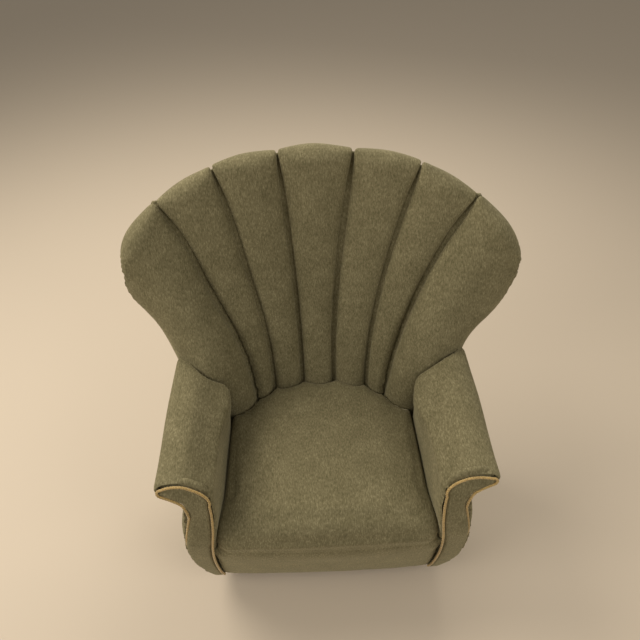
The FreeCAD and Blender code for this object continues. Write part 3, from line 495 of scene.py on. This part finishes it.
fineVoxel = 0.0045   # a mesh of this size or finer needs no more rounding
crease = {"reach": 0.016, "depth": 0.008}
seatSeam = {"height": 0.332, "frontOf": -0.35, "depth": 0.0007, "halfWidth": 0.004}
handfeel = {"perMetre": 9.0, "height": 0.0011}
wingGathers = {
    "outerX": 0.530, "reach": 0.050,
    "low": 0.815, "high": 0.935, "fade": 0.03,
    "pitch": 0.014, "depth": 0.0030, "crest": 0.2,
    "wander": 5, "wanderPerMetre": 22,
    "unevenPerMetre": 40,
}


def handDetail(name):
    # What a hand feels: slight unevenness all over, the seat's front seam as a shallow
    # line, and the small gathers round the wings' outer edges
    def amount(point, normal):
        step = handfeel["height"] * noise.noise(point * handfeel["perMetre"])
        if name == "seatAndBorder" and point.y < seatSeam["frontOf"]:
            away = abs(point.z - seatSeam["height"]) / seatSeam["halfWidth"]
            step -= seatSeam["depth"] * max(0.0, 1 - away * away)
        if name in ("backChannel1", "backChannel7"):
            gather = wingGathers
            nearEdge = smoothStep(gather["outerX"] - gather["reach"], gather["outerX"], abs(point.x))
            window = smoothStep(gather["low"], gather["low"] + gather["fade"], point.z)
            window *= 1 - smoothStep(gather["high"] - gather["fade"], gather["high"], point.z)
            if nearEdge * window > 0:
                wander = gather["wander"] * noise.noise(point * gather["wanderPerMetre"])
                fold = math.sin(2 * math.pi * point.z / gather["pitch"] + wander)
                uneven = 0.5 + 0.5 * noise.noise(point * gather["unevenPerMetre"])
                step += gather["depth"] * nearEdge * window * uneven * min(fold, gather["crest"])
        return step
    return amount


for name, recipe in paddedPieces.items():
    piece = copyOfNodes(name, recipe["nodes"] + recipe.get("inside", []))
    remesh(piece, recipe["voxel"], recipe["ease"])
    if recipe["inset"]:
        moveAlongNormals(piece, lambda point, normal: -recipe["inset"])
    inflate(piece, recipe["cap"])
    movePoints(piece, recipe["group"])
    if "presses" in recipe:
        pressNear(piece, recipe["presses"], crease["reach"], crease["depth"])
    if recipe["voxel"] > fineVoxel:
        subdivide(piece)
    moveAlongNormals(piece, handDetail(name))
    finishPiece(piece, cloth, recipe["nodes"])
    print("padded piece:", name, len(piece.data.polygons), "faces")


# Under the channels the cover is carried through the seams, so no board shows in a
# crease. On the arms it is carried round the rail and the board behind each panel, and
# it is turned in round the rim rail above and the side seat rails below. No move acts
# on the group "rail", because the rails themselves stay where the CAD part has them

railWrap = {"group": "rail", "voxel": 0.006, "ease": 1, "grow": 0.0025}
railHem = {"group": "rail", "voxel": 0.004, "ease": 1, "grow": 0.0030}

carriedCloths = {
    "backUnderCover": {
        "group": "back", "nodes": ["back_channel_%d" % number for number in range(1, 8)],
        "voxel": 0.008, "ease": 3, "grow": -0.017, "halfWidth": 0.465},
    "armUnderCoverLeft": {**railWrap, "nodes": ["arm_top_rail_left", "arm_side_board_left"]},
    "armUnderCoverRight": {**railWrap, "nodes": ["arm_top_rail_right", "arm_side_board_right"]},
    "sideHemLeft": {**railHem, "nodes": ["side_seat_rail_left"]},
    "sideHemRight": {**railHem, "nodes": ["side_seat_rail_right"]},
    "rimHem": {**railHem, "nodes": ["rim_rail"]},
}


def narrow(obj, halfWidth):
    # The thin outer edges are drawn in, well inside the wings that cover them
    setCoordinates(obj, [Vector((max(-halfWidth, min(halfWidth, p.x)), p.y, p.z))
                         for p in coordinates(obj)])


for name, recipe in carriedCloths.items():
    piece = copyOfNodes(name, recipe["nodes"])
    remesh(piece, recipe["voxel"], recipe["ease"])
    moveAlongNormals(piece, lambda point, normal: recipe["grow"])
    if "halfWidth" in recipe:
        narrow(piece, recipe["halfWidth"])
    movePoints(piece, recipe["group"])
    finishPiece(piece, cloth, [])
    print("carried cloth:", name, len(piece.data.polygons), "faces")


# The front boards follow the facings that they carry, a little inside them, and are
# wrapped in the cover

boardInset = 0.0085
for side in ("left", "right"):
    board = copyOfNodes("armFrontBoard" + side.title(), ["arm_front_board_" + side])
    moveAlongNormals(board, lambda point, normal: -boardInset * math.hypot(normal.x, normal.z))
    movePoints(board, "front")
    finishPiece(board, cloth, ["arm_front_board_" + side])
    for polygon in board.data.polygons:
        polygon.use_smooth = False
print("front boards wrapped")


# The hem: the border's cloth turned in below the front rail's edge

hem = {"halfWidth": 0.318, "front": -0.3500, "back": -0.3460, "low": 0.0600, "high": 0.0850}
bpy.ops.mesh.primitive_cube_add(size=1)
hemStrip = bpy.context.object
hemStrip.name = "borderHem"
setCoordinates(hemStrip, [Vector((
    2 * hem["halfWidth"] * v.co.x,
    (hem["front"] + hem["back"]) / 2 + (hem["back"] - hem["front"]) * v.co.y,
    (hem["low"] + hem["high"]) / 2 + (hem["high"] - hem["low"]) * v.co.z)) for v in hemStrip.data.vertices])
finishPiece(hemStrip, cloth, [])
print("border hem made")


# The foam inside the seat

foamRecipe = {"voxel": 0.014, "ease": 2, "inset": 0.004, "fill": 0.9}
foam = copyOfNodes("seatFoamBlock", ["seat_foam"])
remesh(foam, foamRecipe["voxel"], foamRecipe["ease"])
moveAlongNormals(foam, lambda point, normal: -foamRecipe["inset"])
finishPiece(foam, foamCell, ["seat_foam"])
print("foam block:", len(foam.data.polygons), "faces")


# The rope piping: three twisted strands along the edge of each facing

facing = {
    "halfSeat": 0.284, "armWidth": 0.137, "armHeight": 0.632, "halfDepth": 0.407,
    "start": (0.212, 0.100),
    "arcs": [((0.240, 0.332), (0.105, 0.665)), ((0.050, 0.791), (0.045, 0.868)),
             ((0.085, 0.945), (0.250, 0.974)), ((0.550, 0.991), (0.825, 0.973)),
             ((0.915, 0.953), (0.850, 0.932)), ((0.700, 0.912), (0.500, 0.872)),
             ((0.455, 0.840), (0.470, 0.790)), ((0.660, 0.600), (0.735, 0.410)),
             ((0.690, 0.215), (0.475, 0.105))],
    "arcSteps": 10,
    "lean": [(-0.880, 0.060), (-0.945, 0.350), (-0.983, 0.650), (-0.938, 0.800), (-0.872, 0.990)],
    "leanSteps": 24,
}
rope = {
    "diameter": 0.0068, "pitch": 0.021, "strandShare": 0.30, "offsetShare": 0.235,
    "step": 0.0016, "sides": 8,
    "trim": 0.020,                 # its first point is raised by this much
    "neck": (66, 74),              # the path's points over which it turns in behind the facing
    "behind": 0.008, "hideBelow": 0.40,
    "inward": 0.006, "inwardAtNeck": 0.25, "inwardBelow": 0.75,
    "beside": 0.004, "besideHigh": 0.42, "besideLow": 0.07,   # it stands forward beside the seat
    "fade": 0.06,
}


def arcThrough(start, through, end, count):
    # Points on the circle through three points in a plane
    ax, ay, bx, by, cx, cy = *start, *through, *end
    aa, bb, cc = ax * ax + ay * ay, bx * bx + by * by, cx * cx + cy * cy
    divisor = 2 * (ax * (by - cy) + bx * (cy - ay) + cx * (ay - by))
    middleX = (aa * (by - cy) + bb * (cy - ay) + cc * (ay - by)) / divisor
    middleY = (aa * (cx - bx) + bb * (ax - cx) + cc * (bx - ax)) / divisor
    radius = math.hypot(ax - middleX, ay - middleY)
    first = math.atan2(ay - middleY, ax - middleX)
    turn = (math.atan2(cy - middleY, cx - middleX) - first) % (2 * math.pi)
    half = (math.atan2(by - middleY, bx - middleX) - first) % (2 * math.pi)
    if half > turn:
        turn -= 2 * math.pi
    points = []
    for i in range(count + 1):
        angle = first + turn * i / count
        points.append((middleX + radius * math.cos(angle), middleY + radius * math.sin(angle)))
    return points


def leanAt(z):
    # How far forward the facing's front lies at a height
    points = [(y * facing["halfDepth"], share * facing["armHeight"]) for y, share in facing["lean"]]
    steps = facing["leanSteps"]
    curve = arcThrough(points[0], points[1], points[2], steps)
    curve += arcThrough(points[2], points[3], points[4], steps)[1:]
    for (y0, z0), (y1, z1) in zip(curve, curve[1:]):
        if z <= z1 or (y1, z1) == curve[-1]:
            return y0 + (y1 - y0) * (z - z0) / (z1 - z0)


def facingPoint(shares):
    x = facing["halfSeat"] + shares[0] * facing["armWidth"]
    return x, shares[1] * facing["armHeight"]


def pipingPath(side):
    flat = [facingPoint(facing["start"])]
    for through, end in facing["arcs"]:
        flat += arcThrough(flat[-1], facingPoint(through), facingPoint(end), facing["arcSteps"])[1:]
    flat[0] = (flat[0][0], flat[0][1] + rope["trim"])
    points = []
    for index, (x, z) in enumerate(flat):
        # past the neck it lies in the joint behind the facing, which hides it lower down
        past = smoothStep(*rope["neck"], index)
        low = past * smoothStep(rope["hideBelow"], rope["hideBelow"] - rope["fade"], z) if past else 0.0
        x -= rope["inward"] * (rope["inwardAtNeck"] * past + rope["inwardBelow"] * low)
        y = leanAt(z) + rope["behind"] * past
        beside = (1 - past) * smoothStep(rope["besideHigh"], rope["besideHigh"] - rope["fade"], z)
        beside *= smoothStep(rope["besideLow"], rope["besideLow"] + rope["fade"], z)
        y -= rope["beside"] * beside
        points.append(movedPoint(Vector((side * x, y, z)), "front"))
    return points


def ropeTree():
    # Inputs: rope diameter, twist pitch, step along the path and sides of a strand
    tree = bpy.data.node_groups.new("twistedRope", "GeometryNodeTree")
    tree.interface.new_socket("Geometry", in_out="INPUT", socket_type="NodeSocketGeometry")
    for label, value in (("Diameter", rope["diameter"]), ("Pitch", rope["pitch"]), ("Step", rope["step"])):
        socket = tree.interface.new_socket(label, in_out="INPUT", socket_type="NodeSocketFloat")
        socket.default_value = value
    socket = tree.interface.new_socket("Sides", in_out="INPUT", socket_type="NodeSocketInt")
    socket.default_value = rope["sides"]
    tree.interface.new_socket("Geometry", in_out="OUTPUT", socket_type="NodeSocketGeometry")
    given = addNode(tree, "NodeGroupInput")
    result = addNode(tree, "NodeGroupOutput")
    path = addNode(tree, "GeometryNodeResampleCurve", {"mode": "LENGTH"}, {
        "Curve": (given, "Geometry"), "Length": (given, "Step")})
    along = addNode(tree, "GeometryNodeSplineParameter")
    turns = addNode(tree, "ShaderNodeMath", {"operation": "DIVIDE"}, {
        0: (along, "Length"), 1: (given, "Pitch")})
    angle = addNode(tree, "ShaderNodeMath", {"operation": "MULTIPLY"}, {
        0: (turns, "Value"), 1: 2 * math.pi})
    normal = addNode(tree, "GeometryNodeInputNormal")
    tangent = addNode(tree, "GeometryNodeInputTangent")
    across = addNode(tree, "ShaderNodeVectorMath", {"operation": "CROSS_PRODUCT"}, {
        0: (tangent, "Tangent"), 1: (normal, "Normal")})
    offset = addNode(tree, "ShaderNodeMath", {"operation": "MULTIPLY"}, {
        0: (given, "Diameter"), 1: rope["offsetShare"]})
    strandRadius = addNode(tree, "ShaderNodeMath", {"operation": "MULTIPLY"}, {
        0: (given, "Diameter"), 1: rope["strandShare"]})
    ring = addNode(tree, "GeometryNodeCurvePrimitiveCircle", {"mode": "RADIUS"}, {
        "Resolution": (given, "Sides"), "Radius": (strandRadius, "Value")})
    strands = addNode(tree, "GeometryNodeJoinGeometry")
    for number in range(3):
        phase = addNode(tree, "ShaderNodeMath", {"operation": "ADD"}, {
            0: (angle, "Value"), 1: number * 2 * math.pi / 3})
        cosine = addNode(tree, "ShaderNodeMath", {"operation": "COSINE"}, {0: (phase, "Value")})
        sine = addNode(tree, "ShaderNodeMath", {"operation": "SINE"}, {0: (phase, "Value")})
        outward = addNode(tree, "ShaderNodeVectorMath", {"operation": "SCALE"}, {
            0: (normal, "Normal"), "Scale": (cosine, "Value")})
        sideways = addNode(tree, "ShaderNodeVectorMath", {"operation": "SCALE"}, {
            0: (across, "Vector"), "Scale": (sine, "Value")})
        both = addNode(tree, "ShaderNodeVectorMath", {"operation": "ADD"}, {
            0: (outward, "Vector"), 1: (sideways, "Vector")})
        shift = addNode(tree, "ShaderNodeVectorMath", {"operation": "SCALE"}, {
            0: (both, "Vector"), "Scale": (offset, "Value")})
        strand = addNode(tree, "GeometryNodeSetPosition", inputs={
            "Geometry": (path, "Curve"), "Offset": (shift, "Vector")})
        tube = addNode(tree, "GeometryNodeCurveToMesh", inputs={
            "Curve": (strand, "Geometry"), "Profile Curve": (ring, "Curve"), "Fill Caps": True})
        tree.links.new(tube.outputs["Mesh"], strands.inputs["Geometry"])
    realised = addNode(tree, "GeometryNodeRealizeInstances", inputs={"Geometry": (strands, "Geometry")})
    coloured = addNode(tree, "GeometryNodeSetMaterial", inputs={
        "Geometry": (realised, "Geometry"), "Material": goldYarn})
    tree.links.new(coloured.outputs["Geometry"], result.inputs["Geometry"])
    return tree


def curveObject(name, points):
    curve = bpy.data.curves.new(name, "CURVE")
    curve.dimensions = "3D"
    spline = curve.splines.new("POLY")
    spline.points.add(len(points) - 1)
    for target, point in zip(spline.points, points):
        target.co = (*point, 1.0)
    return newObject(name, curve)


twisted = ropeTree()
pipings = [("ropePipingRight", 1, "arm_piping_right"), ("ropePipingLeft", -1, "arm_piping_left")]
for name, side, node in pipings:
    path = curveObject(name + "Path", pipingPath(side))
    modifier = path.modifiers.new("rope", "NODES")
    modifier.node_group = twisted
    graph = bpy.context.evaluated_depsgraph_get()
    mesh = bpy.data.meshes.new_from_object(path.evaluated_get(graph))
    bpy.data.objects.remove(path)
    piping = newObject(name, mesh)
    finishPiece(piping, goldYarn, [node])
    print("rope piping:", name, len(mesh.polygons), "faces")


# The outside back: one cloth drawn over the shell, turned forwards at its sides and rim

outsideBack = {
    "columns": 64, "rows": 88, "turnColumns": 4, "turn": 0.030,
    "thickness": 0.003, "lift": 0.0006, "crown": 0.004, "fill": 0.3,
    "side": [(0.3842, 0.0605), (0.3842, 0.316), (0.4200, 0.588),
             (0.5060, 0.760), (0.5300, 0.850), (0.5320, 0.886)],
    "rim": [(0.5320, 0.886), (0.5160, 0.914), (0.4920, 0.938), (0.4550, 0.964), (0.4080, 0.990),
            (0.2700, 1.040), (0.1020, 1.049), (0.0, 1.049)],
    "edgeFrom": (0.97, 0.98),                  # across and up, in shares of the way to the outline
    "pulls": (0.0, 0.025, 0.05, 0.08, 0.12),   # how far in the depth is read, outermost first
    "farBehind": 1.0, "nearestFrom": 0.3,
}


def alongLine(points, share):
    # The point at a share of a line's length
    lengths = [math.dist(a, b) for a, b in zip(points, points[1:])]
    rest = share * sum(lengths)
    for (a, b), length in zip(zip(points, points[1:]), lengths):
        if rest <= length or b == points[-1]:
            step = min(rest / length, 1.0)
            return a[0] + (b[0] - a[0]) * step, a[1] + (b[1] - a[1]) * step
        rest -= length


def outsidePlace(u, v):
    # Coons patch between the base line, the two sides and the rim, in x and z
    side, rim = outsideBack["side"], outsideBack["rim"]
    across = (u + 1) / 2
    bottom = (u * side[0][0], side[0][1])
    topX, topZ = alongLine(rim, 1 - abs(u))
    top = (math.copysign(topX, u) if u else 0.0, topZ)
    right = alongLine(side, v)
    left = (-right[0], right[1])
    place = []
    for axis in (0, 1):
        cornerLeft = side[0][axis] if axis else -side[0][axis]
        cornerRight = side[0][axis]
        tipLeft = side[-1][axis] if axis else -side[-1][axis]
        tipRight = side[-1][axis]
        ruled = (1 - v) * bottom[axis] + v * top[axis] + (1 - across) * left[axis] + across * right[axis]
        flat = (1 - v) * ((1 - across) * cornerLeft + across * cornerRight)
        flat += v * ((1 - across) * tipLeft + across * tipRight)
        place.append(ruled - flat)
    return place


def gridFaces(columns, rows):
    faces = []
    for row in range(rows):
        for column in range(columns):
            first = row * (columns + 1) + column
            faces.append((first, first + 1, first + columns + 2, first + columns + 1))
    return faces


def depthBehind(skin, u, v):
    # Along the outline the depth is read a little further in, where the solid surely is
    edgeAcross, edgeUp = outsideBack["edgeFrom"]
    onEdge = abs(u) > edgeAcross or v > edgeUp
    for pull in outsideBack["pulls"][1 if onEdge else 0:]:
        x, z = outsidePlace(u * (1 - pull), pull / 2 + v * (1 - pull))
        hit = skin.ray_cast(Vector((x, outsideBack["farBehind"], z)), Vector((0, -1, 0)))[0]
        if hit:
            return hit.y
    return skin.find_nearest(Vector((x, outsideBack["nearestFrom"], z)))[0].y


def makeOutsideBack():
    work = bmesh.new()
    work.from_mesh(nodes["outside_back_cover"].data)
    skin = BVHTree.FromBMesh(work)
    work.free()
    columns, rows, turns = outsideBack["columns"], outsideBack["rows"], outsideBack["turnColumns"]
    turnSteps = [Vector((0, -outsideBack["turn"] * step / turns, 0)) for step in range(1, turns + 1)]
    points = []
    for row in range(rows + 1):
        v = row / rows
        line = []
        for column in range(columns + 1):
            u = 2 * column / columns - 1
            x, z = outsidePlace(u, v)
            crown = outsideBack["crown"] * (1 - u ** 4) * math.sin(math.pi * v)
            line.append(Vector((x, depthBehind(skin, u, v) + outsideBack["lift"] + crown, z)))
        points += [line[0] + step for step in reversed(turnSteps)]
        points += line
        points += [line[-1] + step for step in turnSteps]
    lastRow = points[-(columns + 1 + 2 * turns):]
    for step in turnSteps:
        points += [p + step for p in lastRow]
    mesh = bpy.data.meshes.new("outsideBackCloth")
    mesh.from_pydata([tuple(p) for p in points], [], gridFaces(columns + 2 * turns, rows + turns))
    drawn = newObject("outsideBackCloth", mesh)
    thick = drawn.modifiers.new("thickness", "SOLIDIFY")
    thick.thickness = outsideBack["thickness"]
    thick.offset = 1.0
    bakeModifiers(drawn)
    return drawn


outsideCloth = makeOutsideBack()
movePoints(outsideCloth, "back")
subdivide(outsideCloth)
moveAlongNormals(outsideCloth, handDetail("outsideBackCloth"))
finishPiece(outsideCloth, cloth, ["outside_back_cover"])
print("outside back:", len(outsideCloth.data.polygons), "faces")


# The two plain cloths: over the springs and under the frame

flatCloths = {
    "springDeckCloth": {"node": "spring_deck_cloth", "sag": 0.0, "restsOn": ["seat_springs"]},
    "underFrameCloth": {"node": "dust_cover", "sag": 0.006, "restsOn": ["side_seat_rail_left"]},
}
flatMesh = {"rounds": 5, "longestEdge": 0.03, "ripple": 0.0004, "ripplePerMetre": 25}


def makeFlatCloth(name, recipe):
    piece = copyOfNodes(name, [recipe["node"]])
    work = bmesh.new()
    work.from_mesh(piece.data)
    for cutRound in range(flatMesh["rounds"]):
        longEdges = [edge for edge in work.edges if edge.calc_length() > flatMesh["longestEdge"]]
        if longEdges:
            bmesh.ops.subdivide_edges(work, edges=longEdges, cuts=1)
            bmesh.ops.triangulate(work, faces=work.faces[:])
    low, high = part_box(recipe["node"])
    middle = (low + high) / 2
    for vertex in work.verts:
        across = (vertex.co.x - middle.x) / (high.x - middle.x)
        along = (vertex.co.y - middle.y) / (high.y - middle.y)
        hang = max(0.0, 1 - across * across) * max(0.0, 1 - along * along)
        ripple = flatMesh["ripple"] * hang * noise.noise(vertex.co * flatMesh["ripplePerMetre"])
        vertex.co.z -= recipe["sag"] * hang + ripple
    work.to_mesh(piece.data)
    work.free()
    finishPiece(piece, blackCloth, [recipe["node"]])
    for polygon in piece.data.polygons:
        polygon.use_smooth = False
    area = sum(polygon.area for polygon in piece.data.polygons if abs(polygon.normal.z) > 0.5) / 2
    print("flat cloth:", name, round(area, 4), "square metres")
    return piece, (high.x - low.x, high.y - low.y), area


for name, recipe in flatCloths.items():
    piece, flat, area = makeFlatCloth(name, recipe)


# The CAD nodes that stay keep their shape and get a real finish

nodeFinishes = {
    "frame_timber": beech,
    "plywood": birchPly,
    "dark_wood": darkWood,
    "spring_steel": springSteel,
    "bolt_steel": boltSteel,
    "glide_plastic": glidePlastic,
}
slotOf = {entry["node"]: entry["material_slot"] for entry in frame["record"]["subparts"]}
for nodeName, node in nodes.items():
    finish = nodeFinishes.get(slotOf.get(nodeName))
    if finish and not node.hide_render:
        node.data.materials.clear()
        node.data.materials.append(finish)
print("frame pieces finished")


# Floor, lights and camera

studio = {
    "floor": "#CEBFA9",
    "floorRoughness": 0.8,
    "floorSize": 30.0,
    "worldColour": "#FFFAF2",
    "worldStrength": 0.29,
    "lamps": [
        # name, place, aimed at, width, watts, colour
        ("keyLamp", (-1.9, 1.0, 2.9), (0.0, 0.0, 0.6), 1.8, 61.0, "#FFF8EE"),
        ("fillLamp", (2.0, -1.6, 2.4), (0.0, 0.0, 0.7), 1.8, 26.0, "#FFF9F2"),
        ("leftLamp", (-2.3, -1.2, 2.4), (0.0, 0.0, 0.7), 1.8, 34.0, "#FFF9F2"),
        ("rimLamp", (0.6, 2.0, 2.7), (0.0, 0.2, 0.9), 1.8, 31.0, "#FFF8EE"),
    ],
}

floorMaterial, _, floorShader = newMaterial("paleMattFloor")
floorShader.inputs["Base Color"].default_value = linear(studio["floor"])
floorShader.inputs["Roughness"].default_value = studio["floorRoughness"]
bpy.ops.mesh.primitive_plane_add(size=studio["floorSize"], location=(0, 0, 0))
floor = bpy.context.object
floor.name = "studioFloor"
floor.data.materials.append(floorMaterial)

world = bpy.data.worlds.new("studioWorld")
world.use_nodes = True
bpy.context.scene.world = world
background = world.node_tree.nodes["Background"]
background.inputs["Color"].default_value = linear(studio["worldColour"])
background.inputs["Strength"].default_value = studio["worldStrength"]

for lampName, place, target, width, watts, colour in studio["lamps"]:
    lamp = bpy.data.lights.new(lampName, "AREA")
    lamp.shape = "DISK"
    lamp.size = width
    lamp.energy = watts
    lamp.color = linear(colour)[:3]
    holder = newObject(lampName, lamp)
    holder.location = place
    holder.rotation_mode = "QUATERNION"
    holder.rotation_quaternion = (Vector(target) - Vector(place)).to_track_quat("-Z", "Y")

photoCamera = {
    "place": (-0.0481, -0.9705, 1.7761), "looks": (0.0308, 0.7069, -0.7067),
    "lens": 29.70, "sensor": 36.0,
}
camera = newObject("photoCamera", bpy.data.cameras.new("photoCamera"))
camera.data.lens = photoCamera["lens"]
camera.data.sensor_width = photoCamera["sensor"]
camera.location = photoCamera["place"]
camera.rotation_mode = "QUATERNION"
camera.rotation_quaternion = Vector(photoCamera["looks"]).to_track_quat("-Z", "Y")
bpy.context.scene.camera = camera
bpy.context.scene.view_settings.view_transform = "Standard"
print("studio ready")
